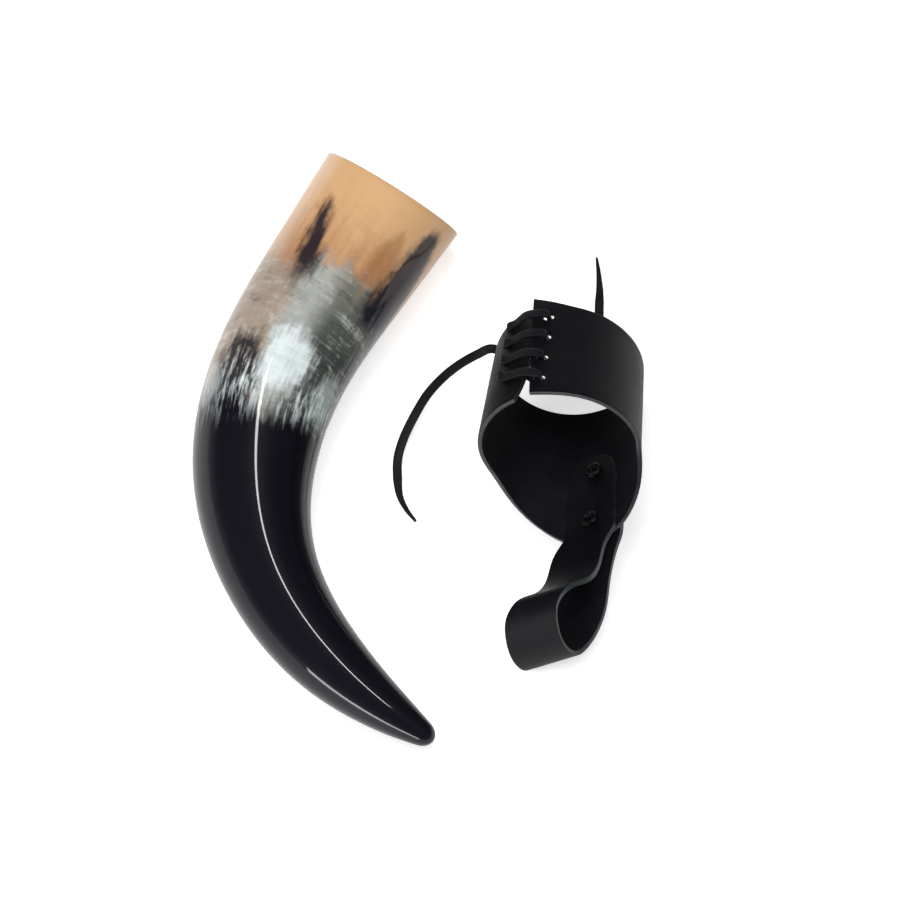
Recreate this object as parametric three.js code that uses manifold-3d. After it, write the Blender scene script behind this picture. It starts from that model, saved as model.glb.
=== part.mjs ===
// A drinking horn and the leather belt holster that carries it, lying side by side on a table.
// Millimetres, +Z up. The origin is under the middle of the set, on the table.
import * as THREE from "three";
import { mergeVertices } from "three/addons/utils/BufferGeometryUtils.js";
import Module from "manifold-3d";

const wasm = await Module();
wasm.setup();

const { degToRad: rad, radToDeg, smoothstep: smooth, lerp, mapLinear, clamp } = THREE.MathUtils;
const vector = (x, y, z) => new THREE.Vector3(x, y, z);

// Horn: distances along its axis from the mouth, and the diameters there
const HORN_LENGTH = 294;
const MOUTH_DIAMETER = 66.4;
const SHOULDER_AT = 62;
const SHOULDER_DIAMETER = 61;
const BELLY_AT = 135;
const BELLY_DIAMETER = 54.4;
const WAIST_AT = 190;
const WAIST_DIAMETER = 42.4;
const THROAT_AT = 242;
const THROAT_DIAMETER = 31.4;
const POINT_AT = 276;
const POINT_DIAMETER = 18.8;
const TIP_DIAMETER = 9.4;
const TIP_ROUNDING = 2;
const TIP_END_DIAMETER = 5.4;
const RIM_WALL = 3.2;
const BORE_DEPTH = 205;
const BORE_END_DIAMETER = 16;
const BORE_END_ROUNDING = 7.5;
const BORE_FLOOR_DIAMETER = 9;

// Horn: how its axis turns on the table, in degrees from a line straight towards the viewer
const TURN_START_HEADING = -32;
const TURN_END_HEADING = 58;
const TURN_FROM = 45;
const TURN_TO = 305;
const RIM_SLANT = 16;
const RIM_SLANT_FADES_IN = 70;
const MOUTH_PLACE = [-10.6, 106.2];
const HORN_SIDES = 32;
const HORN_STEP = 14;

// Sleeve: one sheet of leather rolled to a tapered tube, with a shield that runs on at the back.
// Turns are degrees round the tube from the middle of the back
const LEATHER = 2.2;
const CLEARANCE = 0.3;
const SLEEVE_FAR_DIAMETER = 62.8;
const SLEEVE_MOUTH_DIAMETER = 68.6;
const SLEEVE_HEIGHT = 52;
const SHIELD_LENGTH = 25;
const SHIELD_SPREAD_LEFT = 51;
const SHIELD_SPREAD_RIGHT = 42;
const SHIELD_CURVE = 1.25;
const SHIELD_FLATTENS = 0.6;
const LEFT_EDGE_TURN = 177;
const LEFT_EDGE_SLANT = 2.8;
const FRONT_EDGE_TURN = -176;
const FRONT_EDGE_SLANT = 4;
const FAR_EDGE_SLANT = 4;
const FAR_EDGE_SIDES = 1.8;
const FAR_CORNER_LENGTH = 4.6;
const FAR_CORNER_SPREAD = 20;
const FAR_CORNER_CURVE = 1.3;
const FLARE = 2.5;
const FLARE_SPREAD = 12;
const FLARE_AT_MOUTH = 0.6;
const FLARE_CURVE = 1.5;
const SLEEVE_ROWS = 8;
const SLEEVE_COLUMNS = 50;

// Lacing: a flat thong through two rows of holes beside the sleeve's open edges
const LACE_WIDTH = 4;
const LACE_THICKNESS = 1.6;
const LACE_HOLE = 5.4;
const LACE_HOLES = 4;
const LACE_FIRST_HOLE = 4;
const LACE_PITCH = 12.8;
const LACE_HOLE_INSET = 5.4;
const LACE_LEFT_FIRST_HOLE = 2;
const LACE_LEFT_PITCH = 10;
const LACE_LEFT_HOLE_INSET = 11.4;
const LACE_LEAVES_AT = 0.25;
const LACE_LANDS_AT = 0.6;
const LACE_EDGE_OVERSHOOT = 1.2;
const LACE_LIFT = 0.65;
const LACE_TIP_SHARE = 0.25;
const LACE_TAPER_STEPS = 6;

// Belt loop: a strap folded round the end of the shield, held there by two tubular rivets
const STRAP_WIDTH = 25;
const STRAP_LEATHER = 2.2;
const TAB_LENGTH = 44;
const TAB_END_FLAT = 0.5;
const LOOP_FLATTENS_IN = 18;
const STRAP_ROWS = 58;
const STRAP_COLUMNS = 6;
const RIVET_FROM_TAB_END = 9;
const RIVET_FROM_SHIELD_END = 7.5;
const RIVET_SHANK = 4;
const RIVET_BORE = 2.2;
const RIVET_BORE_DEPTH = 2;
const RIVET_HEAD = 8;
const RIVET_HEAD_HEIGHT = 1.6;
const RIVET_HEAD_EDGE = 0.6;
const RIVET_DOME_DIAMETER = 4.8;
const RIVET_DOME_RISE = 1.35;
const RIVET_RING = 7.6;
const RIVET_RING_HEIGHT = 1.6;
const RIVET_SIDES = 20;

// The loop's middle line past the shield: sideways, along and above the shield's end
const LOOP_FRONT = [
  [5, 8, 2.6],
  [7.4, 21, 3.2],
  [8.6, 30.5, 8],
  [14.4, 37.8, 14.4],
  [20.4, 43.4, 12.6],
  [25.4, 48.4, 1.5],
];
const LOOP_BACK = [
  [27.6, 48.4, -10],
  [27.2, 46, -17.4],
  [25.2, 41, -20.8],
  [20.8, 35, -21],
  [15.2, 25.5, -18.4],
  [9.6, 13, -11.2],
  [4.4, 5.5, -5.8],
];

// How the holster lies: on the far edge of the sleeve and on the end of the belt loop
const HOLSTER_PLACE = [81, 18.2];
const HOLSTER_TILT = 16;
const HOLSTER_ROLL = 30;
const HOLSTER_YAW = 4;

// The lace's free ends: inside the sleeve and round its far edge as turn, height and depth from the
// middle of the wall, and then over the table as x, y and z
const LEFT_TAIL_INSIDE = [
  [147, 30, 2.4],
  [137, 25, 2.4],
  [128, 17.5, 2.7],
  [120.5, 9, 3.2],
  [114.5, 1, 3.6],
];
const LEFT_TAIL_BEND = [
  [112.5, -4.2, 2.4],
  [111.5, -7.6, -0.6],
  [111, -9.1, -4.8],
];
const LEFT_TAIL_OUTSIDE = [
  [26.4, 34.4, 20.6],
  [18.9, 31, 18],
  [11.9, 26.5, 15],
  [4.6, 19.8, 11],
  [-1.5, 10.6, 7],
  [-5.9, 1.9, 4],
  [-8.4, -6.7, 2.1],
  [-8.6, -15.4, 1.2],
  [-7.6, -24.2, 1],
  [-4.6, -31, 1],
  [-0.7, -36.4, 1],
];
const RIGHT_TAIL_INSIDE = [
  [-158, 3, 2.8],
  [-148, 1, 4.5],
  [-139, -1.5, 8.5],
  [-132, -4.5, 14],
];
const RIGHT_TAIL_OUTSIDE = [
  [80.5, 42, 34],
  [80, 46, 24],
  [79.6, 50.5, 13],
  [79.4, 56, 5],
  [79.3, 62, 1.8],
  [79.4, 67.5, 1.4],
  [79.6, 75, 1],
  [79.2, 83, 1],
  [78.4, 90.4, 1],
];

// Colours and finishes
const HORN_LOOK = { color: 0x3a2f28, roughness: 0.25, metalness: 0 };
const LEATHER_LOOK = { color: 0x17171a, roughness: 0.6, metalness: 0 };
const LACE_LOOK = { color: 0x1b1b1e, roughness: 0.7, metalness: 0 };
const RIVET_LOOK = { color: 0x141416, roughness: 0.35, metalness: 0.6 };

// Worked out from the sizes above
const farRadius = SLEEVE_FAR_DIAMETER / 2;
const mouthRadius = SLEEVE_MOUTH_DIAMETER / 2;
const turnAcross = (length) => radToDeg(length / mouthRadius);
const backLength = SLEEVE_HEIGHT + SHIELD_LENGTH;
const tabOffset = LEATHER / 2 + CLEARANCE + STRAP_LEATHER / 2;
const tabFace = tabOffset + STRAP_LEATHER / 2;
const laceOffset = LEATHER / 2 + LACE_LIFT + LACE_THICKNESS / 2;
const laceRows = Array.from({ length: LACE_HOLES }, (_, i) => ({
  front: LACE_FIRST_HOLE + i * LACE_PITCH,
  left: LACE_LEFT_FIRST_HOLE + i * LACE_LEFT_PITCH,
}));
const frontHoleTurn = FRONT_EDGE_TURN + turnAcross(LACE_HOLE_INSET);
const leftHoleTurn = LEFT_EDGE_TURN - turnAcross(LACE_LEFT_HOLE_INSET);
const rivetHole = RIVET_SHANK + 2 * CLEARANCE;

function mesh(name, geometry, look) {
  const made = new THREE.Mesh(geometry, new THREE.MeshStandardMaterial(look));
  made.name = name;
  return made;
}

// A closed surface from its points and triangles, turned so that its faces point out
function closedSurface(points, triangles) {
  let volume = 0;
  for (const [a, b, c] of triangles) {
    volume += points[a].dot(vector().crossVectors(points[b], points[c]));
  }
  const outward = volume > 0 ? triangles : triangles.map(([a, b, c]) => [a, c, b]);
  return new THREE.BufferGeometry().setFromPoints(points).setIndex(outward.flat());
}

// A solid through a row of rings with the same number of points, closed at both ends
function loft(rings) {
  const sides = rings[0].length;
  const points = rings.flat();
  const triangles = [];
  for (let r = 0; r + 1 < rings.length; r++) {
    for (let i = 0; i < sides; i++) {
      const a = r * sides + i;
      const b = r * sides + ((i + 1) % sides);
      triangles.push([a, b, a + sides], [b, b + sides, a + sides]);
    }
  }
  const close = (ring, first, turned) => {
    const middle = ring.reduce((sum, p) => sum.add(p), vector()).divideScalar(sides);
    const centre = points.push(middle) - 1;
    for (let i = 0; i < sides; i++) {
      const pair = [first + i, first + ((i + 1) % sides)];
      triangles.push(turned ? [centre, pair[1], pair[0]] : [centre, ...pair]);
    }
  };
  close(rings[0], 0, true);
  close(rings.at(-1), (rings.length - 1) * sides, false);
  return closedSurface(points, triangles);
}

// A thick sheet: place(row, column, side) gives its points, with side -1 or 1 for its two faces
function sheet(rows, columns, place) {
  const points = [];
  const triangles = [];
  const at = (side, r, c) => (side * (rows + 1) + r) * (columns + 1) + c;
  const quad = (a, b, c, d) => triangles.push([a, b, c], [a, c, d]);
  for (const side of [-1, 1]) {
    for (let r = 0; r <= rows; r++) {
      for (let c = 0; c <= columns; c++) points.push(place(r / rows, c / columns, side));
    }
  }
  for (let r = 0; r < rows; r++) {
    for (let c = 0; c < columns; c++) {
      quad(at(1, r, c), at(1, r, c + 1), at(1, r + 1, c + 1), at(1, r + 1, c));
      quad(at(0, r, c), at(0, r + 1, c), at(0, r + 1, c + 1), at(0, r, c + 1));
    }
    quad(at(0, r, 0), at(1, r, 0), at(1, r + 1, 0), at(0, r + 1, 0));
    quad(at(1, r, columns), at(0, r, columns), at(0, r + 1, columns), at(1, r + 1, columns));
  }
  for (let c = 0; c < columns; c++) {
    quad(at(1, 0, c), at(0, 0, c), at(0, 0, c + 1), at(1, 0, c + 1));
    quad(at(0, rows, c), at(1, rows, c), at(1, rows, c + 1), at(0, rows, c + 1));
  }
  return closedSurface(points, triangles);
}

function solid(geometry) {
  const bare = new THREE.BufferGeometry().setIndex(geometry.getIndex());
  bare.setAttribute("position", geometry.getAttribute("position"));
  const merged = mergeVertices(bare, 1e-4);
  const vertProperties = new Float32Array(merged.getAttribute("position").array);
  const triVerts = new Uint32Array(merged.getIndex().array);
  return new wasm.Manifold(new wasm.Mesh({ numProp: 3, vertProperties, triVerts }));
}

// The geometry with every cutter taken out of it
function cut(geometry, cutters) {
  const left = cutters.reduce((body, cutter) => body.subtract(solid(cutter)), solid(geometry));
  const made = left.getMesh();
  const result = new THREE.BufferGeometry();
  result.setAttribute("position", new THREE.BufferAttribute(made.vertProperties, 3));
  return result.setIndex(new THREE.BufferAttribute(made.triVerts, 1));
}

// The cutter of a punched hole, from one point to another
function punch(diameter, from, to) {
  const along = to.clone().sub(from);
  const hole = new THREE.CylinderGeometry(diameter / 2, diameter / 2, along.length(), 16);
  const turn = new THREE.Quaternion().setFromUnitVectors(vector(0, 1, 0), along.normalize());
  return hole.applyQuaternion(turn).translate(...from.clone().lerp(to, 0.5).toArray());
}

// Horn: its outline as distance from the mouth and radius, on a smooth curve
const hornOutline = new THREE.SplineCurve(
  [
    [0, MOUTH_DIAMETER],
    [SHOULDER_AT, SHOULDER_DIAMETER],
    [BELLY_AT, BELLY_DIAMETER],
    [WAIST_AT, WAIST_DIAMETER],
    [THROAT_AT, THROAT_DIAMETER],
    [POINT_AT, POINT_DIAMETER],
    [HORN_LENGTH, TIP_DIAMETER],
  ].map(([at, diameter]) => new THREE.Vector2(at, diameter / 2)),
).getPoints(300);

function hornRadius(at) {
  const found = hornOutline.findIndex((p) => p.x > at);
  const after = found < 0 ? hornOutline.length - 1 : found;
  const [a, b] = [hornOutline[after - 1], hornOutline[after]];
  return mapLinear(at, a.x, b.x, a.y, b.y);
}

// The axis in the horn's own plane: its heading turns smoothly, and its steps add up
const hornHeading = (at) =>
  rad(lerp(TURN_START_HEADING, TURN_END_HEADING, smooth(at, TURN_FROM, TURN_TO)));
const headingLine = (heading) => vector(Math.sin(heading), -Math.cos(heading), 0);
const hornAxis = [vector(0, 0, 0)];
for (let at = 0; at < HORN_LENGTH; at++) {
  hornAxis.push(hornAxis.at(-1).clone().add(headingLine(hornHeading(at + 0.5))));
}

function hornPoint(at) {
  const below = Math.min(Math.floor(at), hornAxis.length - 2);
  return hornAxis[below].clone().lerp(hornAxis[below + 1], at - below);
}

// A ring round the axis. Near the mouth it leans back, because the rim is cut at a slant
function hornRing(at, radius) {
  const along = headingLine(hornHeading(at));
  const across = vector(-along.y, along.x, 0);
  const lean = Math.tan(rad(RIM_SLANT)) * (1 - smooth(at, 0, RIM_SLANT_FADES_IN));
  return Array.from({ length: HORN_SIDES }, (_, i) => {
    const turn = (i / HORN_SIDES) * 2 * Math.PI;
    const height = radius * Math.sin(turn);
    const point = hornPoint(at).addScaledVector(across, radius * Math.cos(turn));
    return point.addScaledVector(along, lean * height).setZ(height);
  });
}

function boreRadius(at) {
  const endWall = hornRadius(BORE_DEPTH) - BORE_END_DIAMETER / 2;
  return hornRadius(at) - lerp(RIM_WALL, endWall, (at / BORE_DEPTH) ** 2);
}

// The rings run from the tip along the outside to the rim, and inside to the end of the bore
function hornGeometry() {
  const rings = [];
  const outsideSteps = Math.round(HORN_LENGTH / HORN_STEP);
  const insideSteps = Math.round(BORE_DEPTH / HORN_STEP);
  rings.push(hornRing(HORN_LENGTH + TIP_ROUNDING, TIP_END_DIAMETER / 2));
  for (let i = outsideSteps; i >= 0; i--) {
    const at = (i / outsideSteps) * HORN_LENGTH;
    rings.push(hornRing(at, hornRadius(at)));
  }
  for (let i = 0; i <= insideSteps; i++) {
    const at = (i / insideSteps) * BORE_DEPTH;
    rings.push(hornRing(at, boreRadius(at)));
  }
  rings.push(hornRing(BORE_DEPTH + BORE_END_ROUNDING, BORE_FLOOR_DIAMETER / 2));
  return loft(rings);
}

// The horn lies on its mouth, belly and throat: the table touches a ball of its size at each
function layHorn(horn) {
  const rests = [0, BELLY_AT, THROAT_AT];
  const rows = rests.flatMap((at) => [hornPoint(at).x, hornPoint(at).y, 1]);
  const radii = vector(...rests.map(hornRadius));
  const { x, y } = radii.applyMatrix3(new THREE.Matrix3().set(...rows).invert());
  const up = vector(x, y, Math.sqrt(1 - x * x - y * y));
  horn.quaternion.setFromUnitVectors(up, vector(0, 0, 1));
  horn.position.set(...MOUTH_PLACE, 0);
}

// How tightly the sleeve curves at a height from its far edge. It flattens along the shield
function sleeveCurvature(at) {
  const height = Math.min(at, SLEEVE_HEIGHT);
  const radius = mapLinear(height, 0, SLEEVE_HEIGHT, farRadius, mouthRadius);
  return (1 - SHIELD_FLATTENS * smooth(at, SLEEVE_HEIGHT, backLength)) / radius;
}

// The sleeve's two free edges slant: the seam between them is wider at the mouth
const slant = (at) => Math.min(at, SLEEVE_HEIGHT) / SLEEVE_HEIGHT - 0.5;
const frontEdgeTurn = (at) => FRONT_EDGE_TURN + turnAcross(FRONT_EDGE_SLANT) * slant(at);
const leftEdgeTurn = (at) => LEFT_EDGE_TURN - turnAcross(LEFT_EDGE_SLANT) * slant(at);

// How far the front panel's free edge stands off, most at the far end
function flare(turn, at) {
  const near = clamp(1 - (turn - frontEdgeTurn(at)) / turnAcross(FLARE_SPREAD), 0, 1);
  return FLARE * mapLinear(at, 0, SLEEVE_HEIGHT, 1, FLARE_AT_MOUTH) * near ** FLARE_CURVE;
}

// A place on the sleeve: turn, height from the far edge, and depth in from the leather's middle
function onSleeve(turn, at, depth) {
  const curvature = sleeveCurvature(at);
  const angle = rad(turn) * Math.min(1, curvature * mouthRadius);
  const radius = 1 / curvature - depth + flare(turn, at);
  return vector(radius * Math.sin(angle), at, 1 / curvature - radius * Math.cos(angle));
}

// The sleeve's far edge is cut at a slant and hollow at the sides. It is longest at the front,
// where its corner is drawn out
function sleeveStart(turn) {
  const near = clamp(1 - (turn - frontEdgeTurn(0)) / turnAcross(FAR_CORNER_SPREAD), 0, 1);
  const corner = FAR_CORNER_LENGTH * near ** FAR_CORNER_CURVE;
  const sides = FAR_EDGE_SIDES * Math.abs(Math.sin(rad(turn)));
  return FAR_EDGE_SLANT * Math.cos(rad(turn)) + sides - corner;
}

// The sleeve's near edge: straight round the front, and drawn out to the shield at the back
function sleeveEnd(turn) {
  const across = Math.abs(rad(turn)) * mouthRadius;
  const spread = turn > 0 ? SHIELD_SPREAD_LEFT : SHIELD_SPREAD_RIGHT;
  const side = clamp(mapLinear(across, STRAP_WIDTH / 2, spread, 0, 1), 0, 1);
  return SLEEVE_HEIGHT + SHIELD_LENGTH * (1 - side) ** SHIELD_CURVE;
}

const rivetPlaces = [
  { name: "upper", at: backLength - TAB_LENGTH + RIVET_FROM_TAB_END },
  { name: "lower", at: backLength - RIVET_FROM_SHIELD_END },
];
const rivetPunches = rivetPlaces.map(({ at }) =>
  punch(rivetHole, vector(0, at, -2 * tabFace), vector(0, at, 2 * tabFace)),
);

function sleeveGeometry() {
  const place = (row, column, side) => {
    const middle = lerp(LEFT_EDGE_TURN, FRONT_EDGE_TURN, column);
    const at = lerp(sleeveStart(middle), sleeveEnd(middle), row);
    const turn = lerp(leftEdgeTurn(at), frontEdgeTurn(at), column);
    return onSleeve(turn, at, (side * LEATHER) / 2);
  };
  const laceHole = (turn, at) =>
    punch(LACE_HOLE, onSleeve(turn, at, -2 * LEATHER), onSleeve(turn, at, 2 * LEATHER));
  const lacePunches = laceRows.flatMap(({ front, left }) => [
    laceHole(frontHoleTurn, front),
    laceHole(leftHoleTurn, left),
  ]);
  return cut(sheet(SLEEVE_ROWS, SLEEVE_COLUMNS, place), [...lacePunches, ...rivetPunches]);
}

// The strap's middle line runs up the tab inside, round the loop, and down the tab outside
const strapPoint = ([side, along, above]) => vector(side, backLength + along, above);
const insideTab = [strapPoint([0, -TAB_LENGTH, tabOffset]), strapPoint([0, 0, tabOffset])];
const outsideTab = [strapPoint([0, 0, -tabOffset]), strapPoint([0, -TAB_LENGTH, -tabOffset])];
const loopPoints = [...LOOP_FRONT, ...LOOP_BACK].map(strapPoint);
const strapLine = new THREE.CurvePath();
strapLine.add(new THREE.LineCurve3(...insideTab));
strapLine.add(new THREE.CatmullRomCurve3([insideTab[1], ...loopPoints, outsideTab[0]]));
strapLine.add(new THREE.LineCurve3(...outsideTab));

function beltLoopGeometry() {
  const length = strapLine.getLength();
  const sideways = vector(1, 0, 0);
  const place = (row, column, side) => {
    const middle = strapLine.getPointAt(row);
    const ahead = strapLine.getPointAt(Math.min(1, row + 1 / STRAP_ROWS / 2));
    const behind = strapLine.getPointAt(Math.max(0, row - 1 / STRAP_ROWS / 2));
    const normal = vector().crossVectors(sideways, ahead.sub(behind)).normalize();
    const fromEnd = Math.min(row, 1 - row) * length;
    const round = Math.min(1, (fromEnd + TAB_END_FLAT) / (STRAP_WIDTH / 2));
    const across = lerp(-0.5, 0.5, column) * STRAP_WIDTH * Math.sqrt(1 - (1 - round) ** 2);
    const depth = (side * STRAP_LEATHER) / 2;
    const kept = 1 - smooth(fromEnd, TAB_LENGTH, TAB_LENGTH + LOOP_FLATTENS_IN);
    const curvature = kept * sleeveCurvature(middle.y);
    if (curvature < 1e-6) {
      return middle.addScaledVector(sideways, across).addScaledVector(normal, depth);
    }
    const facing = row < 0.5 ? 1 : -1;
    const radius = facing / curvature - tabOffset - depth;
    const angle = across * curvature;
    middle.addScaledVector(sideways, facing * radius * Math.sin(angle));
    return middle.addScaledVector(normal, depth + radius * (1 - Math.cos(angle)));
  };
  return cut(sheet(STRAP_ROWS, STRAP_COLUMNS, place), rivetPunches);
}

// Rivets: a tubular post with a domed head outside, and a ring on its end inside. The ring sits
// high enough to clear the hollow of the sleeve
const ringHollow = ((RIVET_RING / 2) ** 2 * sleeveCurvature(0)) / 2;
const ringSeat = tabFace + CLEARANCE + ringHollow;
const ringMiddle = ringSeat + RIVET_RING_HEIGHT / 2;
const headSeat = -tabFace - CLEARANCE;

function lathe(outline) {
  const points = outline.map(([radius, height]) => new THREE.Vector2(radius, height));
  return new THREE.LatheGeometry(points, RIVET_SIDES).rotateX(Math.PI / 2);
}

function rivetRing() {
  const bore = rivetHole / 2;
  const outer = RIVET_RING / 2;
  return lathe([
    [bore, ringSeat],
    [outer, ringSeat],
    [outer, ringMiddle],
    [(bore + outer) / 2, ringSeat + RIVET_RING_HEIGHT],
    [bore, ringMiddle],
    [bore, ringSeat],
  ]);
}

function rivetPost() {
  const shank = RIVET_SHANK / 2;
  const bore = RIVET_BORE / 2;
  const head = RIVET_HEAD / 2;
  return lathe([
    [0, headSeat - RIVET_HEAD_HEIGHT],
    [RIVET_DOME_DIAMETER / 2, headSeat - RIVET_DOME_RISE],
    [head, headSeat - RIVET_HEAD_EDGE],
    [head, headSeat],
    [shank, headSeat],
    [shank, ringMiddle],
    [bore, ringMiddle],
    [bore, ringMiddle - RIVET_BORE_DEPTH],
    [0, ringMiddle - RIVET_BORE_DEPTH],
  ]);
}

// The lace's flat section across a line: its width lies square to the line and to the flat's normal
function laceRing(point, along, normal, share) {
  const across = vector().crossVectors(along, normal).normalize();
  const through = vector().crossVectors(across, along).normalize();
  const [w, t] = [(share * LACE_WIDTH) / 2, LACE_THICKNESS / 2];
  const corners = [[1, 0.4], [0.75, 1], [-0.75, 1], [-1, 0.4]];
  const outline = [...corners, ...corners.map(([a, b]) => [-a, -b])];
  return outline.map(([a, b]) =>
    point.clone().addScaledVector(across, a * w).addScaledVector(through, b * t),
  );
}

// The laced stretch: out of each front hole, over the gap, into the left hole, and on inside
function laceStitches() {
  const places = laceRows.flatMap(({ front, left }) => {
    const edge = lerp(front, left, LACE_LEAVES_AT);
    const landing = lerp(front, left, LACE_LANDS_AT);
    return [
      [frontHoleTurn, front, laceOffset],
      [frontHoleTurn, front, 0],
      [frontHoleTurn, front, -laceOffset],
      [frontEdgeTurn(edge) - turnAcross(LACE_EDGE_OVERSHOOT), edge, -laceOffset],
      [lerp(LEFT_EDGE_TURN, leftHoleTurn, LACE_LANDS_AT), landing, -laceOffset],
      [leftHoleTurn, left, -laceOffset],
      [leftHoleTurn, left, 0],
      [leftHoleTurn, left, laceOffset],
    ];
  });
  return places.map((place) => onSleeve(...place));
}

function stitchGeometry(points) {
  const rings = points.map((point, i) => {
    const along = points[Math.min(i + 1, points.length - 1)].clone();
    along.sub(points[Math.max(i - 1, 0)]).normalize();
    const normal = vector().crossVectors(vector(0, 1, 0), along);
    return laceRing(point, along, normal, 1);
  });
  return loft(rings);
}

// A free end: its flat lies along the sleeve's wall inside, and faces up over the table
function tailGeometry(start, inside, bend, outside, holster) {
  const wallPoint = ([turn, at, depth]) => onSleeve(turn, at, depth).applyMatrix4(holster.matrix);
  const wallNormal = ([turn, at]) =>
    wallPoint([turn, at, -1]).sub(wallPoint([turn, at, 0])).normalize();
  const places = [start, ...inside];
  const up = vector(0, 0, 1);
  const axis = vector(0, 1, 0).transformDirection(holster.matrix);
  const bendNormals = bend.map((_, i) => axis.clone().lerp(up, i / bend.length));
  const normals = [...places.map(wallNormal), ...bendNormals, ...outside.map(() => up)];
  const points = [...[...places, ...bend].map(wallPoint), ...outside.map((p) => vector(...p))];
  const line = new THREE.CatmullRomCurve3(points);
  const steps = 2 * (points.length - 1);
  const rings = Array.from({ length: steps + 1 }, (_, i) => {
    const here = Math.min(Math.floor(i / 2), normals.length - 2);
    const normal = normals[here].clone().lerp(normals[here + 1], i / 2 - here);
    const left = (steps - i) / LACE_TAPER_STEPS;
    const share = lerp(LACE_TIP_SHARE, 1, clamp(left, 0, 1));
    return laceRing(line.getPoint(i / steps), line.getTangent(i / steps), normal, share);
  });
  return loft(rings);
}

// The holster's own frame: x to its left, y along the back towards its mouth, z into the sleeve
function layHolster(holster) {
  const about = (x, y, z, turn) => new THREE.Matrix4().makeRotationAxis(vector(x, y, z), rad(turn));
  const pose = about(0, 0, 1, 180 - HOLSTER_YAW);
  pose.multiply(about(1, 0, 0, HOLSTER_TILT)).multiply(about(0, 1, 0, HOLSTER_ROLL));
  holster.quaternion.setFromRotationMatrix(pose);
  holster.position.set(...HOLSTER_PLACE, 0);
}

// Sets a group or mesh down on the table
function setDown(piece) {
  piece.updateMatrixWorld(true);
  piece.position.z -= new THREE.Box3().setFromObject(piece, true).min.z;
  piece.updateMatrix();
}

const horn = mesh("horn", hornGeometry(), HORN_LOOK);
layHorn(horn);
setDown(horn);

const holster = new THREE.Group();
holster.add(mesh("sleeve", sleeveGeometry(), LEATHER_LOOK));
holster.add(mesh("belt_loop", beltLoopGeometry(), LEATHER_LOOK));
for (const { name, at } of rivetPlaces) {
  const ring = mesh(`rivet_ring_${name}`, rivetRing(), RIVET_LOOK);
  const post = mesh(`rivet_post_${name}`, rivetPost(), RIVET_LOOK);
  ring.position.y = at;
  post.position.y = at;
  holster.add(ring, post);
}
const stitches = laceStitches();
holster.add(mesh("lace_crossing", stitchGeometry(stitches), LACE_LOOK));
layHolster(holster);
setDown(holster);

const tailOffset = laceOffset + CLEARANCE + LACE_THICKNESS / 2;
const rightStart = [frontHoleTurn, laceRows[0].front, tailOffset];
const leftStart = [leftHoleTurn, laceRows.at(-1).left, tailOffset];
const leftTail = tailGeometry(leftStart, LEFT_TAIL_INSIDE, LEFT_TAIL_BEND, LEFT_TAIL_OUTSIDE, holster);
const rightTail = tailGeometry(rightStart, RIGHT_TAIL_INSIDE, [], RIGHT_TAIL_OUTSIDE, holster);

// The set, with its origin on the table under the middle of the horn and the holster
const set = new THREE.Group();
set.add(horn, holster);
set.updateMatrixWorld(true);
const middle = new THREE.Box3().setFromObject(set, true).getCenter(vector());
set.add(mesh("lace_tail_left", leftTail, LACE_LOOK));
set.add(mesh("lace_tail_right", rightTail, LACE_LOOK));
set.position.set(-middle.x, -middle.y, 0);

export default set;
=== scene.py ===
# %% [markdown]
# A drinking horn and its belt holster, as a lesson in modelling natural things.
# The real set is one polished cattle horn and one black leather holster, which lie side by side on a
# pale table. The CAD frame holds their sizes and places, so it is loaded first and never moved. Each
# cell below makes one piece or one finish on top of it.

# %% Load the frame
import math

import bmesh
import bpy
from mathutils import Matrix, Vector


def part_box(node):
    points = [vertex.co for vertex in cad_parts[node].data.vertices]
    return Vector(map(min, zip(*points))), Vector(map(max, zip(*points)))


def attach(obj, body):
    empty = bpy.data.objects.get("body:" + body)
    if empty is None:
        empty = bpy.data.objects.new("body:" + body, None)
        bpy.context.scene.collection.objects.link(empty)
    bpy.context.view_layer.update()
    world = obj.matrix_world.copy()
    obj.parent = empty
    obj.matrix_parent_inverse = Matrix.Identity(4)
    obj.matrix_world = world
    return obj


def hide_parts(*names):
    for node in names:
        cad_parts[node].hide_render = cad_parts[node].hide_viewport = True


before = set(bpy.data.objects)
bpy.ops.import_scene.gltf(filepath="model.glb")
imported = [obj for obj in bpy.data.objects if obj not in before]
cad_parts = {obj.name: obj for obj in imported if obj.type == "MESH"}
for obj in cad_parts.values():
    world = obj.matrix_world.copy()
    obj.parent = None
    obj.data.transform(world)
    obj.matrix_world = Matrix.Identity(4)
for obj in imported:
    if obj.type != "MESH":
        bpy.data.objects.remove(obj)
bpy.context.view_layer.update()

# %% [markdown]
# The camera looks down at the table steeply, as someone does who stands in front of it. A long lens
# from far away keeps the far end of the horn as large as the near end. The lens could be found by
# trial, but it follows from the width that the picture shows and the distance.

# %% Camera
VIEW_ELEVATION = math.radians(65)
VIEW_DISTANCE = 4.0
VIEW_WIDTH = 0.3906
VIEW_TARGET = Vector((0.0135, 0.0076, 0))

camera_data = bpy.data.cameras.new("camera")
camera_data.sensor_width = 36
camera_data.lens = camera_data.sensor_width * VIEW_DISTANCE / VIEW_WIDTH
camera = bpy.data.objects.new("camera", camera_data)
bpy.context.scene.collection.objects.link(camera)
back = Vector((0, -math.cos(VIEW_ELEVATION), math.sin(VIEW_ELEVATION)))
camera.location = VIEW_TARGET + back * VIEW_DISTANCE
camera.rotation_euler = back.to_track_quat("Z", "Y").to_euler()
bpy.context.scene.camera = camera
print("lens", round(camera_data.lens, 1), "mm")

# %% [markdown]
# Horn, leather and lace are all bent smoothly, so a few small helpers are used everywhere: a mix of
# two values, a value held between two limits, a soft step, a smooth line through a few chosen points,
# and the length of a line. The smooth line is a centripetal Catmull-Rom curve, which passes through
# every point and makes no loops at bends.

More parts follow.
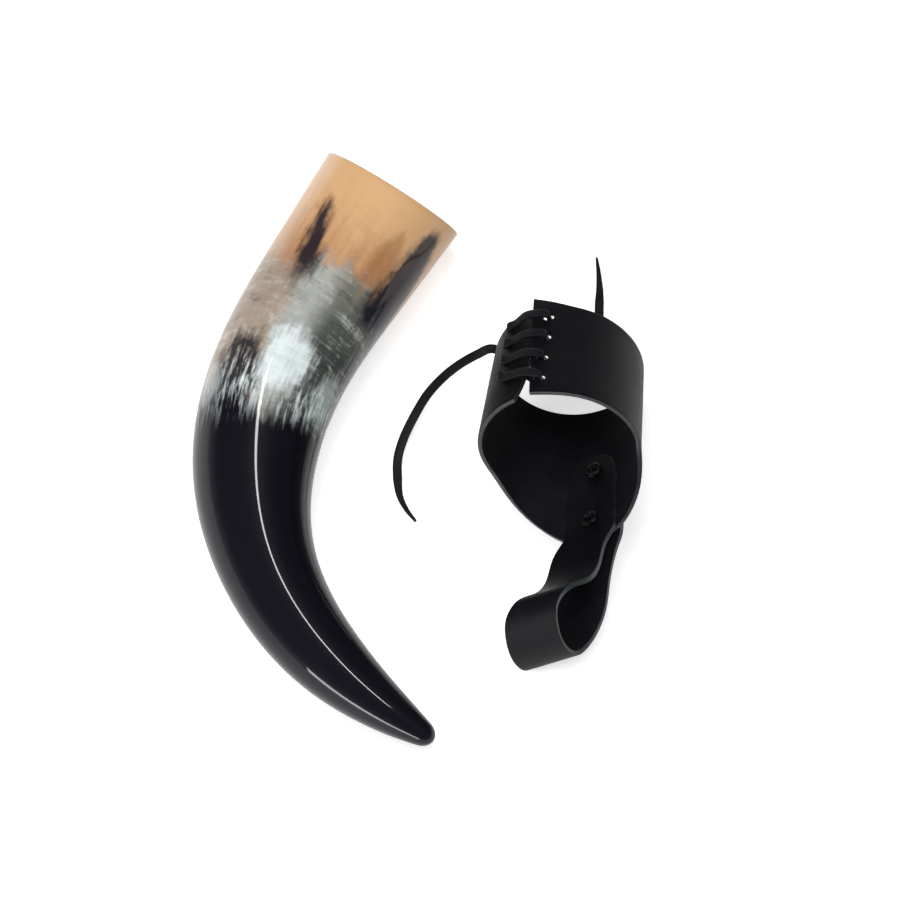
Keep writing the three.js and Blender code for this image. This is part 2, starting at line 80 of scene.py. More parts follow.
# %% Curves
def lerp(a, b, share):
    return a + (b - a) * share


def clamp(value, low=0, high=1):
    return min(high, max(low, value))


def smooth(value, low, high):
    share = clamp((value - low) / (high - low))
    return share * share * (3 - 2 * share)


def curve_through(points, steps):
    ends = [2 * points[0] - points[1], *points, 2 * points[-1] - points[-2]]
    line = []
    for a, b, c, d in zip(ends, ends[1:], ends[2:], ends[3:]):
        first, middle, last = ((q - p).length ** 0.5 for p, q in ((a, b), (b, c), (c, d)))
        for step in range(steps):
            t = middle * step / steps
            ab = a.lerp(b, (t + first) / first)
            bc = b.lerp(c, t / middle)
            cd = c.lerp(d, (t - middle) / last)
            abc = ab.lerp(bc, (t + first) / (first + middle))
            bcd = bc.lerp(cd, t / (middle + last))
            line.append(abc.lerp(bcd, t / middle))
    return [*line, points[-1].copy()]


def line_length(line):
    return sum((b - a).length for a, b in zip(line, line[1:]))


hump = curve_through([Vector((0, 0, 0)), Vector((1, 1, 0)), Vector((2, 0, 0))], 8)
print("a smooth hump through three points is", round(line_length(hump), 2), "long")

# %% [markdown]
# The holster is a sheet of leather rolled to a tapered tube, open at the front seam, with a shield that
# runs on at the back. A place on it is a turn round the tube in degrees, a height from the far edge,
# and a depth in from the middle of the leather. All holster pieces use this one function, so that
# they fit each other. The tube lies tilted and rolled on the table. The left edge bulges a little over
# the seam, so that no light comes through it.

# %% Holster frame
LEATHER = 0.0022
FAR_RADIUS = 0.0314
MOUTH_RADIUS = 0.0343
SLEEVE_HEIGHT = 0.052
SHIELD_LENGTH = 0.025
SHIELD_SPREAD_LEFT = 0.051
SHIELD_SPREAD_RIGHT = 0.042
SHIELD_CURVE = 1.25
SHIELD_FLATTENS = 0.6
STRAP_WIDTH = 0.025
LEFT_EDGE_TURN = 177
LEFT_EDGE_SLANT = 0.0028
LEFT_EDGE_BULGE = 0.0034
BULGE_FULL_FROM = 0.02
BULGE_FULL_TO = 0.04
BULGE_ENDS = 0.05
FRONT_EDGE_TURN = -176
FRONT_EDGE_SLANT = 0.004
FAR_EDGE_SLANT = 0.004
FAR_EDGE_SIDES = 0.0018
FAR_CORNER_LENGTH = 0.0046
FAR_CORNER_SPREAD = 0.02
FAR_CORNER_CURVE = 1.3
FLARE = 0.0025
FLARE_SPREAD = 0.012
FLARE_AT_MOUTH = 0.6
FLARE_CURVE = 1.5
EDGE_SAMPLES = 300
HOLSTER_PLACE = Vector((0.081, 0.0182, 0))
HOLSTER_TURN = (
    Matrix.Rotation(math.radians(176), 4, "Z")
    @ Matrix.Rotation(math.radians(16), 4, "X")
    @ Matrix.Rotation(math.radians(30), 4, "Y")
)
back_length = SLEEVE_HEIGHT + SHIELD_LENGTH


def turn_across(length):
    return math.degrees(length / MOUTH_RADIUS)


def sleeve_curvature(at):
    radius = lerp(FAR_RADIUS, MOUTH_RADIUS, min(at, SLEEVE_HEIGHT) / SLEEVE_HEIGHT)
    return (1 - SHIELD_FLATTENS * smooth(at, SLEEVE_HEIGHT, back_length)) / radius


def edge_slant(at):
    return min(at, SLEEVE_HEIGHT) / SLEEVE_HEIGHT - 0.5


def front_edge_turn(at):
    return FRONT_EDGE_TURN + turn_across(FRONT_EDGE_SLANT) * edge_slant(at)


def left_edge_turn(at):
    bulge = smooth(at, 0, BULGE_FULL_FROM) * (1 - smooth(at, BULGE_FULL_TO, BULGE_ENDS))
    slant = turn_across(LEFT_EDGE_SLANT) * edge_slant(at)
    return LEFT_EDGE_TURN - slant + turn_across(LEFT_EDGE_BULGE * bulge)


def flare(turn, at):
    near = clamp(1 - (turn - front_edge_turn(at)) / turn_across(FLARE_SPREAD))
    return FLARE * lerp(1, FLARE_AT_MOUTH, at / SLEEVE_HEIGHT) * near**FLARE_CURVE


def on_sleeve(turn, at, depth=0.0):
    curvature = sleeve_curvature(at)
    angle = math.radians(turn) * min(1, curvature * MOUTH_RADIUS)
    radius = 1 / curvature - depth + flare(turn, at)
    return Vector((radius * math.sin(angle), at, 1 / curvature - radius * math.cos(angle)))


def sleeve_start(turn):
    near = clamp(1 - (turn - front_edge_turn(0)) / turn_across(FAR_CORNER_SPREAD))
    corner = FAR_CORNER_LENGTH * near**FAR_CORNER_CURVE
    sides = FAR_EDGE_SIDES * abs(math.sin(math.radians(turn)))
    return FAR_EDGE_SLANT * math.cos(math.radians(turn)) + sides - corner


def sleeve_end(turn):
    across = abs(math.radians(turn)) * MOUTH_RADIUS
    spread = SHIELD_SPREAD_LEFT if turn > 0 else SHIELD_SPREAD_RIGHT
    side = clamp((across - STRAP_WIDTH / 2) / (spread - STRAP_WIDTH / 2))
    return SLEEVE_HEIGHT + SHIELD_LENGTH * (1 - side) ** SHIELD_CURVE


def middle_of(points):
    lows = Vector(map(min, *points))
    highs = Vector(map(max, *points))
    return (lows + highs) / 2


def sleeve_edges(share):
    turn = lerp(LEFT_EDGE_TURN, FRONT_EDGE_TURN, share)
    for at in (sleeve_start(turn), sleeve_end(turn)):
        yield lerp(left_edge_turn(at), front_edge_turn(at), share), at


sampled = [
    HOLSTER_TURN @ on_sleeve(turn, at, side * LEATHER / 2)
    for i in range(EDGE_SAMPLES + 1)
    for turn, at in sleeve_edges(i / EDGE_SAMPLES)
    for side in (-1, 1)
]
holster_place = middle_of(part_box("sleeve")) - middle_of(sampled)
holster = Matrix.Translation(holster_place) @ HOLSTER_TURN
table_shift = Vector((*(holster_place - HOLSTER_PLACE).xy, 0))
sleeve_axis = HOLSTER_TURN @ Vector((0, 1, 0))
print("holster at", [round(x, 4) for x in holster_place])

# %% [markdown]
# The lace is one flat leather thong, 4 mm wide. Its two ends hang free. The left one runs along the
# inside of the sleeve, bends round its far edge and lies in a wide curve on the table. The right one
# runs out behind the sleeve. A curve object with a bevel shape would do, but its twist is hard to hold,
# so one ring of the thong's section is extruded from point to point. Each vertex keeps its own place
# in the section in a layer, which extruding copies.

# %% Lace ends
LACE_WIDTH = 0.004
LACE_THICKNESS = 0.0016
LACE_TIP_SHARE = 0.25
LACE_TAPER_LENGTH = 0.022
LACE_SIDES = 16
LACE_SQUARENESS = 0.4
LACE_LIFT = 0.00065
LACE_HOLE_INSET = 0.0054
LACE_LEFT_HOLE_INSET = 0.0114
FRONT_LACE_ROWS = [0.004, 0.0168, 0.0296, 0.0424]
LEFT_LACE_ROWS = [0.002, 0.012, 0.022, 0.032]
CLEARANCE = 0.0003
HARD_EDGE = math.radians(50)
LACE_END_STEPS = 8
LEFT_TAIL_INSIDE = [
    (147, 0.03, 0.0024), (137, 0.025, 0.0024), (128, 0.0175, 0.0027),
    (120.5, 0.009, 0.0032), (114.5, 0.001, 0.0036),
]
LEFT_TAIL_BEND = [(112.5, -0.0042, 0.0024), (111.5, -0.0076, -0.0006), (111, -0.0091, -0.0048)]
LEFT_TAIL_OUTSIDE = [
    (0.0264, 0.0344, 0.0206), (0.0189, 0.031, 0.018), (0.0119, 0.0265, 0.015),
    (0.0046, 0.0198, 0.011), (-0.0015, 0.0106, 0.007), (-0.0059, 0.0019, 0.004),
    (-0.0084, -0.0067, 0.0021), (-0.0086, -0.0154, 0.0012), (-0.0076, -0.0242, 0.001),
    (-0.0046, -0.031, 0.001), (-0.0007, -0.0364, 0.001),
]
RIGHT_TAIL_INSIDE = [
    (-158, 0.003, 0.0028), (-148, 0.001, 0.0045), (-139, -0.0015, 0.0085), (-132, -0.0045, 0.014),
]
RIGHT_TAIL_OUTSIDE = [
    (0.0805, 0.042, 0.034), (0.08, 0.046, 0.024), (0.0796, 0.0505, 0.013),
    (0.0794, 0.056, 0.005), (0.0793, 0.062, 0.0018), (0.0794, 0.0675, 0.0014),
    (0.0796, 0.075, 0.001), (0.0792, 0.083, 0.001), (0.0784, 0.0904, 0.001),
]
front_hole_turn = FRONT_EDGE_TURN + turn_across(LACE_HOLE_INSET)
left_hole_turn = LEFT_EDGE_TURN - turn_across(LACE_LEFT_HOLE_INSET)
lace_offset = LEATHER / 2 + LACE_LIFT + LACE_THICKNESS / 2
tail_offset = lace_offset + CLEARANCE + LACE_THICKNESS / 2


def finished(bm, name):
    for face in bm.faces:
        face.smooth = True
    for edge in bm.edges:
        edge.smooth = not edge.is_manifold or edge.calc_face_angle() < HARD_EDGE
    mesh = bpy.data.meshes.new(name)
    bm.to_mesh(mesh)
    bm.free()
    piece = bpy.data.objects.new(name, mesh)
    bpy.context.scene.collection.objects.link(piece)
    return piece


def next_ring(bm, ring_edges):
    made = bmesh.ops.extrude_edge_only(bm, edges=ring_edges)["geom"]
    verts = [part for part in made if isinstance(part, bmesh.types.BMVert)]
    edges = [part for part in made if isinstance(part, bmesh.types.BMEdge) and part.is_boundary]
    return verts, edges


def squared(value):
    return math.copysign(abs(value) ** LACE_SQUARENESS, value)


def thong(name, line, normals, shares):
    bm = bmesh.new()
    section = bm.verts.layers.float_vector.new("section")
    verts = bmesh.ops.create_circle(bm, segments=LACE_SIDES, radius=1)["verts"]
    edges = list(bm.edges)
    for vert in verts:
        vert[section] = (squared(vert.co.x), squared(vert.co.y), 0)
    for i, (point, normal, share) in enumerate(zip(line, normals, shares)):
        if i:
            verts, edges = next_ring(bm, edges)
        along = line[min(i + 1, len(line) - 1)] - line[max(i - 1, 0)]
        across = along.cross(normal).normalized()
        through = across.cross(along).normalized()
        for vert in verts:
            wide = vert[section][0] * share * LACE_WIDTH / 2
            vert.co = point + across * wide + through * vert[section][1] * LACE_THICKNESS / 2
    bmesh.ops.holes_fill(bm, edges=[edge for edge in bm.edges if edge.is_boundary], sides=0)
    bmesh.ops.recalc_face_normals(bm, faces=bm.faces)
    return finished(bm, name)


def lace_end(name, start, inside, bend, outside):
    walls = [start, *inside]
    points = [holster @ on_sleeve(*place) for place in [*walls, *bend]]
    points += [Vector(point) + table_shift for point in outside]
    outs = [on_sleeve(turn, at, -LEATHER) - on_sleeve(turn, at) for turn, at, _ in walls]
    normals = [(HOLSTER_TURN @ out).normalized() for out in outs]
    up = Vector((0, 0, 1))
    normals += [sleeve_axis.lerp(up, i / len(bend)) for i in range(len(bend))]
    normals += [up] * len(outside)
    line = curve_through(points, LACE_END_STEPS)
    turned = []
    for i in range(len(line)):
        here, step = divmod(i, LACE_END_STEPS)
        after = min(here + 1, len(normals) - 1)
        turned.append(normals[here].lerp(normals[after], step / LACE_END_STEPS))
    left = [line_length(line[i:]) / LACE_TAPER_LENGTH for i in range(len(line))]
    shares = [lerp(LACE_TIP_SHARE, 1, clamp(share)) for share in left]
    piece = thong(name, line, turned, shares)
    print(name, "is", round(line_length(line), 4), "m long, in", len(line), "rings")
    return piece


lace_left = lace_end(
    "thong_end_left", (left_hole_turn, LEFT_LACE_ROWS[-1], tail_offset),
    LEFT_TAIL_INSIDE, LEFT_TAIL_BEND, LEFT_TAIL_OUTSIDE,
)
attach(lace_left, "holster")
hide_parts("lace_tail_left")
lace_right = lace_end(
    "thong_end_right", (front_hole_turn, FRONT_LACE_ROWS[0], tail_offset),
    RIGHT_TAIL_INSIDE, [], RIGHT_TAIL_OUTSIDE,
)
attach(lace_right, "holster")
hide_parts("lace_tail_right")

# %% [markdown]
# Between its ends the thong closes the front seam: out of a hole in the front panel, over the gap, into
# a hole in the left panel, and on to the next row inside. It is the same strip on a closer line, with
# its width along the sleeve, so that it lies flat on the leather.

# %% Lacing
LACE_EDGE_OVERSHOOT = 0.0012
LACE_LEAVES_AT = 0.25
LACE_LANDS_AT = 0.6
STITCH_STEPS = 5


def stitch(front, left):
    edge = lerp(front, left, LACE_LEAVES_AT)
    landing = lerp(front, left, LACE_LANDS_AT)
    over_edge = front_edge_turn(edge) - turn_across(LACE_EDGE_OVERSHOOT)
    landing_turn = lerp(LEFT_EDGE_TURN, left_hole_turn, LACE_LANDS_AT)
    return [
        (front_hole_turn, front, lace_offset),
        (front_hole_turn, front, 0),
        (front_hole_turn, front, -lace_offset),
        (over_edge, edge, -lace_offset),
        (landing_turn, landing, -lace_offset),
        (left_hole_turn, left, -lace_offset),
        (left_hole_turn, left, 0),
        (left_hole_turn, left, lace_offset),
    ]


places = [place for rows in zip(FRONT_LACE_ROWS, LEFT_LACE_ROWS) for place in stitch(*rows)]
stitch_line = curve_through([holster @ on_sleeve(*place) for place in places], STITCH_STEPS)
stitch_normals = [
    sleeve_axis.cross(stitch_line[min(i + 1, len(stitch_line) - 1)] - stitch_line[max(i - 1, 0)])
    for i in range(len(stitch_line))
]
lacing = thong("thong_lacing", stitch_line, stitch_normals, [1] * len(stitch_line))
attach(lacing, "holster")
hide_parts("lace_crossing")
print("lacing is", round(line_length(stitch_line), 3), "m of thong")

# %% [markdown]
# The horn is a tapered tube on a line that bends more and more towards the point. It could be a curve
# with a taper object, but a drinking horn is hollow and its rim is rounded, so one ring is extruded
# from the floor of the bore up to the rim, over it, and down the outside to the tip. Each vertex also
# keeps where it lies on the horn: the cosine and sine round it and the distance from the mouth. The
# finish reads that layer, because the horn's colours follow its growth and not the table.

# %% Horn
HORN_STATIONS = [
    (0, 0.0664), (0.062, 0.061), (0.135, 0.0544), (0.190, 0.0424),
    (0.242, 0.0314), (0.276, 0.0188), (0.294, 0.0094), (0.296, 0.0083),
]
HORN_LENGTH = 0.296
TIP_ROUNDING = 0.006
RIM_WALL = 0.0032
RIM_EDGE = 0.0008
BORE_DEPTH = 0.205
BORE_END_RADIUS = 0.008
BORE_END_ROUNDING = 0.0075
START_HEADING = math.radians(-32)
END_HEADING = math.radians(58)
BEND_FROM = 0.045
BEND_TO = 0.305
RIM_SLANT = math.radians(16)
RIM_SLANT_FADE = 0.07
HORN_RESTS = (0, 0.135, 0.242)
HORN_SIDES = 96
HORN_STEP = 0.003
AXIS_STEP = 0.001
OUTLINE_STEPS = 40
ROUNDING_STEPS = 5
TIP_STEPS = 12
TIP_CURVE = 3

horn_points = [Vector((at, wide / 2, 0)) for at, wide in HORN_STATIONS]
horn_outline = curve_through(horn_points, OUTLINE_STEPS)


def horn_radius(at):
    after = next((i for i, point in enumerate(horn_outline) if point.x > at), len(horn_outline) - 1)
    a, b = horn_outline[after - 1], horn_outline[after]
    return lerp(a.y, b.y, (at - a.x) / (b.x - a.x))


def horn_heading(at):
    return lerp(START_HEADING, END_HEADING, smooth(at, BEND_FROM, BEND_TO))


horn_axis = [Vector((0, 0, 0))]
while len(horn_axis) * AXIS_STEP < HORN_LENGTH + 2 * AXIS_STEP:
    heading = horn_heading((len(horn_axis) - 0.5) * AXIS_STEP)
    horn_axis.append(horn_axis[-1] + AXIS_STEP * Vector((math.sin(heading), -math.cos(heading), 0)))


def horn_point(at):
    below = int(at / AXIS_STEP)
    return horn_axis[below].lerp(horn_axis[below + 1], at / AXIS_STEP - below)


def on_horn(at, radius, cosine, sine):
    heading = horn_heading(at)
    across = Vector((math.cos(heading), math.sin(heading), 0))
    along = Vector((math.sin(heading), -math.cos(heading), 0))
    lean = math.tan(RIM_SLANT) * (1 - smooth(at, 0, RIM_SLANT_FADE))
    height = radius * sine
    return horn_point(at) + across * radius * cosine + along * lean * height + Vector((0, 0, height))


def bore_radius(at):
    end_wall = horn_radius(BORE_DEPTH) - BORE_END_RADIUS
    return horn_radius(at) - lerp(RIM_WALL, end_wall, (at / BORE_DEPTH) ** 2)


def horn_rings():
    quarter = [math.pi / 2 * i / ROUNDING_STEPS for i in range(ROUNDING_STEPS + 1)]
    bore_steps = round(BORE_DEPTH / HORN_STEP)
    skin_steps = round((HORN_LENGTH - TIP_ROUNDING) / HORN_STEP)
    skin_end = HORN_LENGTH - TIP_ROUNDING
    rings = []
    for a in reversed(quarter[:-1]):
        rings.append((BORE_DEPTH + BORE_END_ROUNDING * math.sin(a), BORE_END_RADIUS * math.cos(a)))
    for i in range(bore_steps - 1, 0, -1):
        at = lerp(RIM_EDGE, BORE_DEPTH, i / bore_steps)
        rings.append((at, bore_radius(at)))
    for a in quarter:
        rings.append((RIM_EDGE * (1 - math.sin(a)), bore_radius(0) + RIM_EDGE * (1 - math.cos(a))))
    for a in quarter:
        rings.append((RIM_EDGE * (1 - math.cos(a)), horn_radius(0) - RIM_EDGE * (1 - math.sin(a))))
    for i in range(1, skin_steps + 1):
        at = lerp(RIM_EDGE, skin_end, i / skin_steps)
        rings.append((at, horn_radius(at)))
    for i in range(1, TIP_STEPS):
        share = math.sin(math.pi / 2 * i / TIP_STEPS)
        at = skin_end + TIP_ROUNDING * share
        rings.append((at, horn_radius(at) * (1 - share**TIP_CURVE) ** 0.5))
    return rings


def horn_piece(name):
    rings = horn_rings()
    bm = bmesh.new()
    grain = bm.verts.layers.float_vector.new("grain")
    verts = bmesh.ops.create_circle(bm, segments=HORN_SIDES, radius=1)["verts"]
    edges = list(bm.edges)
    for vert in verts:
        vert[grain] = (vert.co.x, vert.co.y, 0)
    for i, (at, radius) in enumerate(rings):
        if i:
            verts, edges = next_ring(bm, edges)
        for vert in verts:
            cosine, sine, _ = vert[grain]
            vert[grain] = (cosine, sine, at)
            vert.co = on_horn(at, radius, cosine, sine)
    ends = bmesh.ops.holes_fill(bm, edges=[edge for edge in bm.edges if edge.is_boundary], sides=0)
    bmesh.ops.poke(bm, faces=ends["faces"])
    bmesh.ops.recalc_face_normals(bm, faces=bm.faces)
    rests = Matrix([(*horn_point(at).xy, 1) for at in HORN_RESTS])
    slope = rests.inverted() @ Vector([horn_radius(at) for at in HORN_RESTS])
    up = Vector((slope.x, slope.y, math.sqrt(1 - slope.x**2 - slope.y**2)))
    lay = up.rotation_difference(Vector((0, 0, 1))).to_matrix()
    bmesh.ops.rotate(bm, verts=bm.verts, matrix=lay)
    low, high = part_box("horn")
    shift = (low + high) / 2 - middle_of([vert.co for vert in bm.verts])
    shift.z = low.z - min(vert.co.z for vert in bm.verts)
    bmesh.ops.translate(bm, verts=bm.verts, vec=shift)
    return finished(bm, name)


horn = horn_piece("polished_horn")
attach(horn, "drinking_horn")
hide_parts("horn")
print("horn has", len(horn.data.polygons), "faces")

# %% [markdown]
# The sleeve is cut from a flat hide, so it is made as a flat grid first: across is the way round the
# tube, and along is the height. Its rows run through the punched holes, so each hole is one vertex of
# the grid that is dissolved, inset and opened on a circle. Then the grid is rolled up. Solidify gives
# the leather its thickness, a small bevel rounds the cut edges, and subdivision smooths the roll.

# %% Leather sheets
LEATHER_EDGE = 0.00045


def punch(bm, centre, radius):
    vert = min(bm.verts, key=lambda v: (v.co - centre).length)
    bmesh.ops.dissolve_verts(bm, verts=[vert])
    face = min(bm.faces, key=lambda f: (f.calc_center_median() - centre).length)
    bmesh.ops.inset_individual(bm, faces=[face], thickness=radius / 4)
    rim = sorted(face.verts, key=lambda v: math.atan2(v.co.y - centre.y, v.co.x - centre.x))
    first = math.atan2(rim[0].co.y - centre.y, rim[0].co.x - centre.x)
    for i, v in enumerate(rim):
        angle = first + 2 * math.pi * i / len(rim)
        v.co = centre + radius * Vector((math.cos(angle), math.sin(angle), 0))
    bmesh.ops.delete(bm, geom=[face], context="FACES")


def flat_grid(columns, rows, place):
    bm = bmesh.new()
    bmesh.ops.create_grid(bm, x_segments=columns, y_segments=rows, size=1)
    for vert in bm.verts:
        column = round((vert.co.x + 1) / 2 * columns)
        row = round((vert.co.y + 1) / 2 * rows)
        vert.co = Vector((*place(column, row), 0))
    return bm


def leather_piece(bm, name, outward):
    face = max(bm.faces, key=lambda f: f.calc_area())
    if face.normal.dot(outward(face.calc_center_median())) < 0:
        bmesh.ops.reverse_faces(bm, faces=bm.faces)
    piece = finished(bm, name)
    wall = piece.modifiers.new("leather", "SOLIDIFY")
    wall.thickness = LEATHER
    wall.offset = 0
    wall.use_even_offset = True
    wall.material_offset = 1
    wall.material_offset_rim = 2
    edge = piece.modifiers.new("cut edges", "BEVEL")
    edge.width = LEATHER_EDGE
    edge.segments = 2
    edge.limit_method = "ANGLE"
    edge.angle_limit = HARD_EDGE
    roll = piece.modifiers.new("roll", "SUBSURF")
    roll.levels = 2
    roll.render_levels = 2
    return piece


print("leather is", LEATHER * 1000, "mm thick")

# %% [markdown]
# At the front the rows pass through the four lace holes, and at the back through the two rivets. In
# between they drift from the one set to the other.

# %% Sleeve
LACE_HOLE = 0.0054
RIVET_HOLE = 0.0046
RIVETS_AT = (0.042, 0.0695)
FRONT_ROWS = [0.004, 0.0104, 0.0168, 0.0232, 0.0296, 0.036, 0.0424, 0.0472]
LEFT_ROWS = [0.002, 0.007, 0.012, 0.017, 0.022, 0.027, 0.032, 0.042]
BACK_ROWS = [0.0116, 0.0192, 0.0268, 0.0344, 0.042, 0.0512, 0.0603, 0.0695]
BACK_TURN = 20
FAR_SIDE_TURN = 140
MOUTH_SIDE_TURN = 75
COLUMNS_LEFT = 16
COLUMNS_RIGHT = 18

sleeve_turns = [
    LEFT_EDGE_TURN,
    (LEFT_EDGE_TURN + left_hole_turn) / 2,
    *(lerp(left_hole_turn, 0, i / COLUMNS_LEFT) for i in range(COLUMNS_LEFT)),
    *(lerp(0, front_hole_turn, i / COLUMNS_RIGHT) for i in range(COLUMNS_RIGHT + 1)),
    FRONT_EDGE_TURN,
]


def sleeve_flat(column, row):
    turn = sleeve_turns[column]
    heights = [sleeve_start(turn)]
    sides = LEFT_ROWS if turn > 0 else FRONT_ROWS
    for i, (back_row, side_row) in enumerate(zip(BACK_ROWS, sides)):
        reached = lerp(FAR_SIDE_TURN, MOUTH_SIDE_TURN, i / (len(sides) - 1))
        heights.append(lerp(back_row, side_row, smooth(abs(turn), BACK_TURN, reached)))
    at = [*heights, sleeve_end(turn)][row]
    if column < 2:
        turn = lerp(left_edge_turn(at), left_hole_turn, column / 2)
    if turn == FRONT_EDGE_TURN:
        turn = front_edge_turn(at)
    return math.radians(turn) * MOUTH_RADIUS, at


def sleeve_piece(name):
    bm = flat_grid(len(sleeve_turns) - 1, len(FRONT_ROWS) + 1, sleeve_flat)
    for turn, lace_rows in ((left_hole_turn, LEFT_LACE_ROWS), (front_hole_turn, FRONT_LACE_ROWS)):
        for at in lace_rows:
            punch(bm, Vector((math.radians(turn) * MOUTH_RADIUS, at, 0)), LACE_HOLE / 2)
    for at in RIVETS_AT:
        punch(bm, Vector((0, at, 0)), RIVET_HOLE / 2)
    for vert in bm.verts:
        vert.co = holster @ on_sleeve(turn_across(vert.co.x), vert.co.y)
    bm.normal_update()
    axis = holster @ Vector((0, 0, MOUTH_RADIUS))
    return leather_piece(bm, name, lambda centre: centre - axis)


sleeve = sleeve_piece("leather_sleeve")
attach(sleeve, "holster")
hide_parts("sleeve")
print("sleeve sheet has", len(sleeve.data.polygons), "faces before its thickness")

# %% [markdown]
# The belt loop is a strap of the same leather. One tab lies inside the shield and one outside, and the
# middle is folded round to a loop that hangs to one side. Its middle line is two straight tabs with a
# smooth curve between them. The tabs take the hollow of the sleeve, and the loop flattens out.

# %% Belt loop
TAB_LENGTH = 0.044
TAB_END_FLAT = 0.0005
LOOP_FLATTENS_IN = 0.018
STRAP_COLUMNS = 8
LOOP_STEPS = 44
LOOP_CURVE_STEPS = 20
STRAP_REACH = 0.002
FLAT_BEND = 1e-3
TAB_ROWS = [0, 0.0007, 0.002, 0.0044, 0.009, 0.014, 0.0195, 0.025, 0.0305, 0.0365, 0.0405]
LOOP_FRONT = [
    (0.005, 0.008, 0.0026), (0.0074, 0.021, 0.0032), (0.0086, 0.0305, 0.008),
    (0.0144, 0.0378, 0.0144), (0.0204, 0.0434, 0.0126), (0.0254, 0.0484, 0.0015),
]
LOOP_BACK = [
    (0.0276, 0.0484, -0.01), (0.0272, 0.046, -0.0174), (0.0252, 0.041, -0.0208),
    (0.0208, 0.035, -0.021), (0.0152, 0.0255, -0.0184), (0.0096, 0.013, -0.0112),
    (0.0044, 0.0055, -0.0058),
]
tab_offset = LEATHER + CLEARANCE


def strap_point(side, along, above):
    return Vector((side, back_length + along, above))


loop_ends = strap_point(0, 0, tab_offset), strap_point(0, 0, -tab_offset)
loop_points = [loop_ends[0], *(strap_point(*p) for p in LOOP_FRONT + LOOP_BACK), loop_ends[1]]
strap_line = [
    strap_point(0, -TAB_LENGTH, tab_offset),
    *curve_through(loop_points, LOOP_CURVE_STEPS),
    strap_point(0, -TAB_LENGTH, -tab_offset),
]
strap_length = line_length(strap_line)
strap_runs = [0.0]
for a, b in zip(strap_line, strap_line[1:]):
    strap_runs.append(strap_runs[-1] + (b - a).length)


def on_strap_line(run):
    after = next((i for i, done in enumerate(strap_runs) if done > run), len(strap_runs) - 1)
    share = (run - strap_runs[after - 1]) / (strap_runs[after] - strap_runs[after - 1])
    return strap_line[after - 1].lerp(strap_line[after], share)


def on_strap(across, run):
    middle = on_strap_line(run)
    ahead = on_strap_line(min(run + STRAP_REACH, strap_length))
    travel = ahead - on_strap_line(max(run - STRAP_REACH, 0))
    sideways = Vector((1, 0, 0))
    normal = sideways.cross(travel).normalized()
    from_end = min(run, strap_length - run)
    kept = 1 - smooth(from_end, TAB_LENGTH, TAB_LENGTH + LOOP_FLATTENS_IN)
    curvature = kept * sleeve_curvature(middle.y)
    if curvature * STRAP_WIDTH < FLAT_BEND:
        return middle + sideways * across
    facing = 1 if run < strap_length / 2 else -1
    radius = facing / curvature - tab_offset
    angle = across * curvature
    rise = normal * radius * (1 - math.cos(angle))
    return middle + sideways * facing * radius * math.sin(angle) + rise


strap_rows = [
    *TAB_ROWS,
    *(lerp(TAB_LENGTH, strap_length - TAB_LENGTH, i / LOOP_STEPS) for i in range(LOOP_STEPS + 1)),
    *(strap_length - run for run in reversed(TAB_ROWS)),
]


def strap_flat(column, row):
    run = strap_rows[row]
    from_end = min(run, strap_length - run)
    round_share = min(1, (from_end + TAB_END_FLAT) / (STRAP_WIDTH / 2))
    width = STRAP_WIDTH * math.sqrt(1 - (1 - round_share) ** 2)
    return lerp(-0.5, 0.5, column / STRAP_COLUMNS) * width, run


def belt_loop_piece(name):
    bm = flat_grid(STRAP_COLUMNS, len(strap_rows) - 1, strap_flat)
    for at in RIVETS_AT:
        run = at - (back_length - TAB_LENGTH)
        for place in (run, strap_length - run):
            punch(bm, Vector((0, place, 0)), RIVET_HOLE / 2)
    for vert in bm.verts:
        vert.co = holster @ on_strap(vert.co.x, vert.co.y)
    bm.normal_update()
    tab = holster @ strap_point(0, -TAB_LENGTH / 2, 0)
    into = (HOLSTER_TURN @ Vector((0, 0, 1))).normalized()
    return leather_piece(bm, name, lambda centre: into if (centre - tab).dot(into) > 0 else -into)


belt_loop = belt_loop_piece("leather_belt_loop")
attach(belt_loop, "holster")
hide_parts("belt_loop")
print("strap is", round(strap_length, 3), "m long")

# %% [markdown]
# Two tubular rivets hold the strap. Each is a post with a domed head outside, whose open end is rolled
# over a ring inside. A rivet is turned work, so half of its outline is drawn once and spun round.

# %% Rivets
RIVET_SHANK = 0.004
RIVET_BORE = 0.0022
RIVET_BORE_DEPTH = 0.002
RIVET_HEAD = 0.008
RIVET_HEAD_HEIGHT = 0.0016
RIVET_HEAD_EDGE = 0.0006
RIVET_RING = 0.0076
RIVET_RING_HEIGHT = 0.0016
RIVET_LIP_HEIGHT = 0.0003
RIVET_SIDES = 40
RIVET_ARC_STEPS = 10
RIVET_LIP_STEPS = 6
MERGE_DISTANCE = 1e-7

tab_face = tab_offset + LEATHER / 2
ring_hollow = (RIVET_RING / 2) ** 2 * sleeve_curvature(0) / 2
ring_seat = tab_face + CLEARANCE + ring_hollow
ring_middle = ring_seat + RIVET_RING_HEIGHT / 2
head_seat = -tab_face - CLEARANCE


def arc(centre, radii, start, end, steps):
    angles = [math.radians(lerp(start, end, i / steps)) for i in range(steps + 1)]
    return [(centre[0] + radii[0] * math.cos(a), centre[1] + radii[1] * math.sin(a)) for a in angles]


